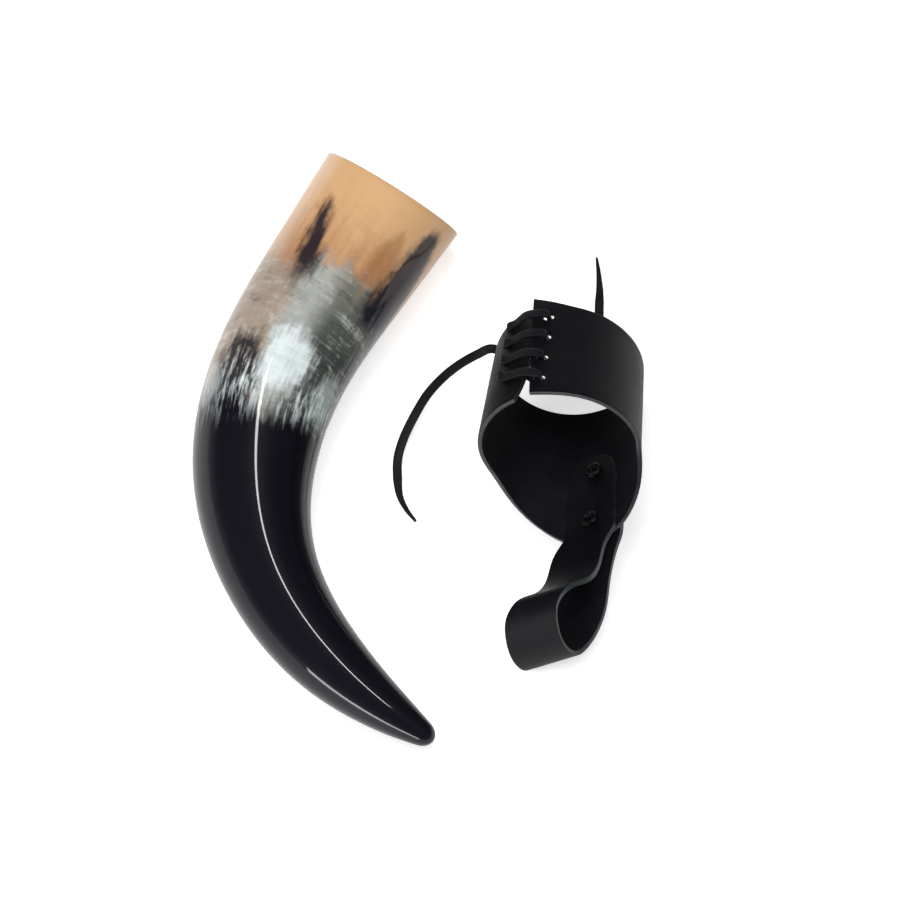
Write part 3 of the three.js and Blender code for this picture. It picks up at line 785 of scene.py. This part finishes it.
def turned_piece(name, outline, at, closed):
    bm = bmesh.new()
    verts = [bm.verts.new((radius, 0, height)) for radius, height in outline]
    pairs = list(zip(verts, verts[1:])) + ([(verts[-1], verts[0])] if closed else [])
    edges = [bm.edges.new(pair) for pair in pairs]
    bmesh.ops.spin(
        bm, geom=verts + edges, cent=(0, 0, 0), axis=(0, 0, 1), angle=2 * math.pi,
        steps=RIVET_SIDES, use_merge=True,
    )
    bmesh.ops.remove_doubles(bm, verts=bm.verts, dist=MERGE_DISTANCE)
    bmesh.ops.recalc_face_normals(bm, faces=bm.faces)
    bmesh.ops.transform(bm, matrix=holster @ Matrix.Translation((0, at, 0)), verts=bm.verts)
    return finished(bm, name)


def rivet_ring(name, at):
    bore = RIVET_HOLE / 2
    outer = RIVET_RING / 2
    middle = (bore + outer) / 2, ring_middle
    radii = (outer - bore) / 2, RIVET_RING_HEIGHT / 2
    roll = arc(middle, radii, 0, 180, RIVET_ARC_STEPS)
    return turned_piece(name, [(bore, ring_seat), (outer, ring_seat), *roll], at, True)


def rivet_post(name, at):
    shank = RIVET_SHANK / 2
    bore = RIVET_BORE / 2
    head = RIVET_HEAD / 2
    dome_base = head_seat - RIVET_HEAD_EDGE
    dome_radii = head, RIVET_HEAD_HEIGHT - RIVET_HEAD_EDGE
    dome = arc((0, dome_base), dome_radii, 270, 360, RIVET_ARC_STEPS)
    lip_radii = (shank - bore) / 2, RIVET_LIP_HEIGHT
    lip = arc(((shank + bore) / 2, ring_middle), lip_radii, 0, 180, RIVET_LIP_STEPS)
    floor = [(bore, ring_middle - RIVET_BORE_DEPTH), (0, ring_middle - RIVET_BORE_DEPTH)]
    outline = [*dome, (head, head_seat), (shank, head_seat), *lip, *floor]
    return turned_piece(name, outline, at, False)


rivets = []
for name, at in zip(("upper", "lower"), RIVETS_AT):
    for make, node in ((rivet_ring, "rivet_ring_"), (rivet_post, "rivet_post_")):
        piece = make("turned_" + node + name, at)
        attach(piece, "holster")
        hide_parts(node + name)
        rivets.append(piece)
print("rivets", [piece.name for piece in rivets])

# %% [markdown]
# Finishes are written as sums. A small class wraps a shader socket, so that an expression such as
# 1 - mask adds the Math node it needs. Any other node comes from one method, which takes its type,
# its settings and its sockets.

# %% Shader sums
class Wire:
    def __init__(self, tree, socket=None):
        self.tree = tree
        self.socket = socket

    def node(self, kind, settings=None, sockets=None, output=0):
        made = self.tree.nodes.new(kind)
        for name, value in (settings or {}).items():
            setattr(made, name, value)
        for name, value in (sockets or {}).items():
            if isinstance(value, Wire):
                self.tree.links.new(value.socket, made.inputs[name])
            else:
                made.inputs[name].default_value = value
        return Wire(self.tree, made.outputs[output] if made.outputs else None)

    def out(self, name):
        return Wire(self.tree, self.socket.node.outputs[name])

    def math(self, operation, *values):
        return self.node("ShaderNodeMath", {"operation": operation}, dict(enumerate(values)))

    def __add__(self, other):
        return self.math("ADD", self, other)

    def __sub__(self, other):
        return self.math("SUBTRACT", self, other)

    def __rsub__(self, other):
        return self.math("SUBTRACT", other, self)

    def __mul__(self, other):
        return self.math("MULTIPLY", self, other)

    def __truediv__(self, other):
        return self.math("DIVIDE", self, other)

    def __pow__(self, other):
        return self.math("POWER", self, other)

    def __abs__(self):
        return self.math("ABSOLUTE", self)

    __radd__ = __add__
    __rmul__ = __mul__

    def step(self, low, high):
        limits = {"Value": self, "From Min": low, "From Max": high}
        return self.node("ShaderNodeMapRange", {"interpolation_type": "SMOOTHSTEP"}, limits)

    def mix(self, colour, other):
        return self.node("ShaderNodeMix", {"data_type": "RGBA"}, {0: self, 6: colour, 7: other}, 2)


def srgb(red, green, blue):
    def linear(value):
        value /= 255
        return value / 12.92 if value <= 0.04045 else ((value + 0.055) / 1.055) ** 2.4

    return linear(red), linear(green), linear(blue), 1


def finish_of(name, build):
    material = bpy.data.materials.new(name)
    material.use_nodes = True
    tree = material.node_tree
    build(Wire(tree), tree.nodes["Principled BSDF"])
    print("finish", name, "has", len(tree.nodes), "nodes")
    return material


def feed(wire, shader, socket):
    wire.tree.links.new(wire.socket, shader.inputs[socket])


def bumped(wire, shader, height, strength, distance):
    sockets = {"Strength": strength, "Distance": distance, "Height": height}
    feed(wire.node("ShaderNodeBump", {}, sockets, "Normal"), shader, "Normal")


print("middle grey is", round(srgb(128, 128, 128)[0], 3), "of the light")

# %% [markdown]
# The horn is honey-coloured at the mouth and blue-black at the point. Where they meet, dark flames run
# up into the honey, and a band of grey and white streaks lies across the middle. The horn grew in
# layers, so the pattern is drawn in its own layer of turn and distance: fibres are noise drawn
# out along the horn, growth lines are noise drawn out round it, and clouds are plain noise. A few
# soft patches say where the pale and dark areas lie. Two marks are painted light: a pale band along
# the left of the honey is a painted reflection, and the ash grey round the top of the middle is partly
# the horn's own grey and partly a painted soft highlight along the ridge. A clear lacquer on top makes
# it shine.

# %% Horn finish
HONEY = srgb(222, 177, 129)
HONEY_DEEP = srgb(184, 136, 98)
PAINTED_LEFT_REFLECTION = srgb(234, 202, 170)
AMBER = srgb(150, 98, 52)
FLAME = srgb(24, 26, 40)
TAUPE = srgb(166, 150, 134)
ASH_AND_PAINTED_SHEEN = srgb(170, 172, 166)
OLIVE = srgb(74, 78, 74)
OLIVE_PALE = srgb(114, 116, 108)
PALE = srgb(206, 210, 204)
SHADE = srgb(42, 43, 50)
WHITE = srgb(228, 238, 238)
SAGE = srgb(178, 192, 184)
BLACK = srgb(17, 15, 23)
ROUND_TO_METRES = 33


def horn_grain(wire):
    grain = wire.node("ShaderNodeAttribute", {"attribute_name": "grain"}, output="Vector")
    parts = wire.node("ShaderNodeSeparateXYZ", {}, {"Vector": grain})
    from_top = wire.math("ARCTAN2", parts.out("X") * -1, parts.out("Y")) * (180 / math.pi)
    return grain, from_top + 90, parts.out("Z") * 1000


def grain_noise(grain, around, along, scale, detail=4.0, roughness=0.55, distortion=0.0):
    stretch = (around, around, along * ROUND_TO_METRES)
    vector = grain.node("ShaderNodeVectorMath", {"operation": "MULTIPLY"}, {0: grain, 1: stretch})
    sockets = {
        "Vector": vector, "Scale": scale, "Detail": detail,
        "Roughness": roughness, "Distortion": distortion,
    }
    return grain.node("ShaderNodeTexNoise", {}, sockets)


def patch(turn, along, place, size, ragged):
    off_turn = (turn - place[0]) / size[0]
    off_along = (along - place[1]) / size[1]
    reach = (off_turn * off_turn + off_along * off_along) ** 0.5
    return 1 - (reach + ragged).step(0.55, 1.1)


def flame(turn, along, tip, root, width, ragged):
    share = (along - tip[1]) / (root[1] - tip[1])
    off = abs(turn - tip[0] - share * (root[0] - tip[0]))
    inside = share.math("MAXIMUM", share, 0) ** 0.6 * width - off + ragged
    return inside.step(-6, 5) * share.step(0, 0.15)


def most(*masks):
    top = masks[0]
    for mask in masks[1:]:
        top = top.math("MAXIMUM", top, mask)
    return top


def horn_look(wire, shader):
    grain, turn, along = horn_grain(wire)
    fibre = grain_noise(grain, 1, 0.1, 8) - 0.5
    fine_fibre = grain_noise(grain, 1, 0.14, 13, detail=5.0, roughness=0.6) - 0.5
    lines = grain_noise(grain, 0.16, 1, 9, detail=7.0, roughness=0.65, distortion=0.9) - 0.5
    cloud = grain_noise(grain, 1, 1, 2.6, distortion=0.6) - 0.5
    mottle = grain_noise(grain, 1, 0.6, 8, detail=6.0, roughness=0.65) - 0.5
    ragged = fibre * 0.8 + cloud * 0.6 + mottle * 0.6

    honey = (along / 60 + fibre * 0.7 + cloud * 0.7).step(0.1, 1.0).mix(HONEY, HONEY_DEEP)
    # painted reflection: a pale pink band along the left side of the honey stands in for the reflection
    # of a bright light at the left
    honey = (turn.step(126, 152) * turn.step(240, 170) * 0.5).mix(honey, PAINTED_LEFT_REFLECTION)
    amber = patch(turn, along, (58, 36), (11, 20), ragged)
    honey = (amber * 0.5).mix(honey, AMBER)

    upper = turn.step(64, 90) * turn.step(260, 190)
    left = turn.step(98, 112) * turn.step(260, 190)
    olive = (along + cloud * 24 + mottle * 16).step(62, 90).mix(OLIVE_PALE, OLIVE)
    # the ash grey round the top of the horn is partly the horn's own grey and partly a painted soft
    # highlight along the ridge
    middle = upper.mix(olive, ASH_AND_PAINTED_SHEEN)
    middle = ((turn + cloud * 20).step(98, 112) * upper).mix(middle, TAUPE)
    growth = lines + mottle * 0.7 + cloud * 0.5
    middle = (growth.step(0.0, 0.34) * 0.65).mix(middle, PALE)
    middle = ((0 - growth).step(0.02, 0.36) * 0.6).mix(middle, SHADE)
    grows = (along + fibre * 20 + cloud * 16 + mottle * 14 - left * 10).step(42, 58)
    colour = grows.mix(honey, middle)

    streaks = fibre * 14 + mottle * 14
    flames = most(
        flame(turn, along, (124, 17), (110, 60), 10, streaks),
        flame(turn, along, (31, 3), (25, 55), 24, streaks),
        flame(turn, along, (-70, 18), (-60, 60), 18, streaks),
        flame(turn, along, (225, 26), (220, 64), 16, streaks),
    )
    fade = 1 - (along + cloud * 24 + mottle * 20 + upper * 2).step(56, 80)
    colour = (flames * fade * 0.95).mix(colour, FLAME)

    dark_from = along + fibre * 26 + cloud * 12 + mottle * 16 + left * 8
    colour = dark_from.step(118, 132).mix(colour, BLACK)
    speckled = patch(turn, along, (124, 109), (30, 18), ragged) * (fine_fibre + mottle).step(0.28, 0.0)
    colour = (speckled * 0.92).mix(colour, FLAME)
    sage = patch(turn, along, (31, 109), (18, 17), ragged * 1.3)
    colour = (sage * (0.75 + lines * 1.4)).mix(colour, SAGE)
    tufts = (fine_fibre * 1.4 + fibre + mottle * 0.8).step(-0.06, 0.34)
    band = 1 - (abs(along - 121 + fibre * 24 + mottle * 16) / 12).step(0.1, 1.2)
    white = most(
        patch(turn, along, (84, 102), (26, 17), ragged * 1.3) * (0.95 + lines + fine_fibre * 1.2),
        patch(turn, along, (118, 114), (20, 10), ragged * 1.5) * tufts,
        patch(turn, along, (44, 113), (18, 10), ragged * 1.5) * tufts,
        patch(turn, along, (154, 117), (18, 10), ragged) * 0.3,
        band * tufts * (0.85 - left * 0.15),
    )
    colour = white.mix(colour, WHITE)
    feed(colour, shader, "Base Color")

    rough = 0.4 + lines * 0.12 + fine_fibre * 0.1
    feed(rough, shader, "Roughness")
    relief = lines * 0.3 + fibre * 0.8 + cloud
    bumped(wire, shader, relief, 0.1, 0.0004)
    shader.inputs["Specular IOR Level"].default_value = 0.05
    shader.inputs["Coat Weight"].default_value = 0.42
    shader.inputs["Coat Roughness"].default_value = 0.03


horn_finish = finish_of("lacquered_horn", horn_look)
horn.data.materials.append(horn_finish)

# %% [markdown]
# The leather is dyed black through. Its grain side is smooth with fine pebbles and shines a little,
# its flesh side is fibrous and dull, and the cut edge is rubbed smooth and looks a shade paler. The
# three finishes sit in three slots, which Solidify hands out to the two faces and the rim.

# %% Leather finishes
GRAIN_DARK, GRAIN_PALE = srgb(8, 8, 12), srgb(17, 16, 22)
FLESH_DARK, FLESH_PALE = srgb(14, 13, 18), srgb(27, 26, 32)
EDGE_DARK, EDGE_PALE = srgb(20, 24, 26), srgb(42, 49, 50)
LEATHER_SHINE = 0.1


def leather_noise(wire, scale, detail=4.0, roughness=0.55):
    place = wire.node("ShaderNodeTexCoord", output="Object")
    sockets = {"Vector": place, "Scale": scale, "Detail": detail, "Roughness": roughness}
    return wire.node("ShaderNodeTexNoise", {}, sockets)


def pebbles(wire, scale):
    place = wire.node("ShaderNodeTexCoord", output="Object")
    sockets = {"Vector": place, "Scale": scale, "Randomness": 0.9}
    return wire.node("ShaderNodeTexVoronoi", {"feature": "DISTANCE_TO_EDGE"}, sockets)


def grain_side(wire, shader):
    tone = leather_noise(wire, 45)
    scuffs = leather_noise(wire, 320, detail=5.0, roughness=0.7)
    cells = pebbles(wire, 1500).step(0.0, 0.12)
    shade = (tone * 0.6 + scuffs * 0.4).step(0.35, 0.7)
    feed(shade.mix(GRAIN_DARK, GRAIN_PALE), shader, "Base Color")
    feed(0.32 + tone * 0.18 + scuffs * 0.14, shader, "Roughness")
    shader.inputs["Specular IOR Level"].default_value = LEATHER_SHINE
    bumped(wire, shader, cells + scuffs * 0.6, 0.22, 0.00012)


def flesh_side(wire, shader):
    tone = leather_noise(wire, 60)
    nap = leather_noise(wire, 900, detail=6.0, roughness=0.75)
    shade = (tone * 0.5 + nap * 0.5).step(0.35, 0.7)
    feed(shade.mix(FLESH_DARK, FLESH_PALE), shader, "Base Color")
    feed(0.72 + nap * 0.2, shader, "Roughness")
    shader.inputs["Specular IOR Level"].default_value = LEATHER_SHINE
    bumped(wire, shader, nap, 0.4, 0.0002)


def cut_edge(wire, shader):
    tone = leather_noise(wire, 120)
    fibres = leather_noise(wire, 1400, detail=4.0)
    shade = (tone * 0.6 + fibres * 0.4).step(0.35, 0.7)
    feed(shade.mix(EDGE_DARK, EDGE_PALE), shader, "Base Color")
    feed(0.42 + fibres * 0.2, shader, "Roughness")
    bumped(wire, shader, fibres, 0.2, 0.0001)


leather_finishes = [
    finish_of("leather_grain_side", grain_side),
    finish_of("leather_flesh_side", flesh_side),
    finish_of("leather_cut_edge", cut_edge),
]
for piece in (sleeve, belt_loop):
    for finish in leather_finishes:
        piece.data.materials.append(finish)

# %% [markdown]
# The thong is split leather, so it has long fine fibres, and the rivets are brass under black lacquer.

# %% Lace and rivet finishes
THONG_DARK, THONG_PALE = srgb(15, 15, 18), srgb(31, 30, 35)
RIVET_DARK, RIVET_PALE = srgb(12, 12, 13), srgb(30, 30, 31)


def lace_look(wire, shader):
    tone = leather_noise(wire, 90)
    fibres = leather_noise(wire, 1100, detail=5.0, roughness=0.7)
    shade = (tone * 0.6 + fibres * 0.4).step(0.35, 0.7)
    feed(shade.mix(THONG_DARK, THONG_PALE), shader, "Base Color")
    feed(0.4 + fibres * 0.2, shader, "Roughness")
    shader.inputs["Specular IOR Level"].default_value = 0.15
    bumped(wire, shader, fibres, 0.3, 0.00015)


def rivet_look(wire, shader):
    tone = leather_noise(wire, 500, detail=5.0)
    feed(tone.step(0.35, 0.7).mix(RIVET_DARK, RIVET_PALE), shader, "Base Color")
    feed(0.22 + tone * 0.25, shader, "Roughness")
    shader.inputs["Metallic"].default_value = 0.5


lace_finish = finish_of("black_thong", lace_look)
for piece in (lace_left, lace_right, lacing):
    piece.data.materials.append(lace_finish)
rivet_finish = finish_of("black_rivet", rivet_look)
for piece in rivets:
    piece.data.materials.append(rivet_finish)

# %% [markdown]
# The table is a wide white plane that keeps the soft shadow. The world is pale near the horizon and
# dim overhead, so that the dark horn stays dark on top and takes pale edges from the table. A narrow
# strip overhead draws the long line of light on the horn, and a low strip in front draws the short one.

# %% Table and light
FLOOR_SIZE = 12.0
LAMP_DISTANCE = 1.6
TABLE_WHITE = (0.9, 0.9, 0.9, 1)
TABLE_GLOW = 0.6
SKY_LOW, SKY_HIGH = (0.55, 0.55, 0.55, 1), (0.06, 0.06, 0.065, 1)


def table_look(wire, shader):
    shader.inputs["Base Color"].default_value = TABLE_WHITE
    shader.inputs["Roughness"].default_value = 0.9
    shader.inputs["Specular IOR Level"].default_value = 0
    path = wire.node("ShaderNodeLightPath", output="Is Camera Ray")
    seen = path.math("MAXIMUM", path, path.out("Is Glossy Ray"))
    seen = seen.math("MAXIMUM", seen, path.out("Is Transmission Ray"))
    feed(seen.mix((0, 0, 0, 1), (1, 1, 1, 1)), shader, "Emission Color")
    shader.inputs["Emission Strength"].default_value = TABLE_GLOW


bm = bmesh.new()
bmesh.ops.create_grid(bm, x_segments=1, y_segments=1, size=FLOOR_SIZE / 2)
table = finished(bm, "table")
table.data.materials.append(finish_of("pale_table", table_look))

world = bpy.data.worlds.new("studio")
bpy.context.scene.world = world
world.use_nodes = True
sky = Wire(world.node_tree)
direction = sky.node("ShaderNodeTexCoord", output="Generated")
height = sky.node("ShaderNodeSeparateXYZ", {}, {"Vector": direction}).out("Z")
level = height.step(0.0, 0.35).mix(SKY_LOW, SKY_HIGH)
background = world.node_tree.nodes["Background"]
feed(level, background, "Color")
background.inputs["Strength"].default_value = 1.0


def lamp(name, direction, along, size, power):
    data = bpy.data.lights.new(name, "AREA")
    data.shape = "RECTANGLE"
    data.size, data.size_y = size
    data.energy = power
    made = bpy.data.objects.new(name, data)
    bpy.context.scene.collection.objects.link(made)
    towards = Vector(direction).normalized()
    across = Vector(along).cross(towards).normalized()
    made.location = towards * LAMP_DISTANCE
    made.rotation_euler = Matrix((across, towards.cross(across), towards)).transposed().to_euler()
    return made


overhead = lamp("overhead strip", (0.1, -0.03, 1), (0.61, -0.79, 0), (0.09, 1.2), 12)
front = lamp("front strip", (-0.42, -0.88, 0.08), (0.9, -0.42, 0), (0.2, 1.1), 14)
soft = lamp("soft light", (-0.6, -0.2, 1), (0, 1, 0), (1.5, 1.5), 17)
soft.visible_glossy = False
bpy.context.scene.view_settings.view_transform = "Standard"
print("lamps", [o.name for o in (overhead, front, soft)])
